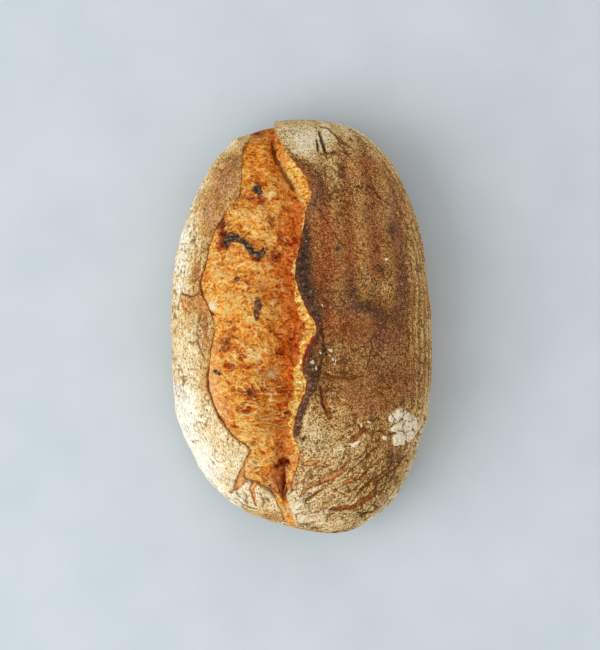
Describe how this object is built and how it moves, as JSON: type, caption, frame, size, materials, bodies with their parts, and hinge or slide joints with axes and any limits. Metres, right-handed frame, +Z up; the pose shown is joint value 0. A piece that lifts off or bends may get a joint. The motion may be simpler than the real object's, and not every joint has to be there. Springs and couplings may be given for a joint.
{
  "type": "onion bread loaf",
  "caption": "Oval hearth-baked loaf with a floury brown crust, burst open along its length over golden crumb with roasted onion.",
  "frame": {"origin": "on the surface the loaf rests on, under the middle of the loaf's length and width", "axes": "+Y along the loaf, +X across it towards the side where the split's crust stands up as an ear, +Z up"},
  "size_m": [0.1578, 0.25, 0.0879],
  "materials": {
    "crust": "matte baked crust, brown under a dusting of pale flour",
    "crumb": "matte torn crumb, golden with browned tips",
    "onion": "dark roasted onion, slightly glossy"
  },
  "bodies": {
    "root": {"loaf": "crust"}
  },
  "joints": []
}
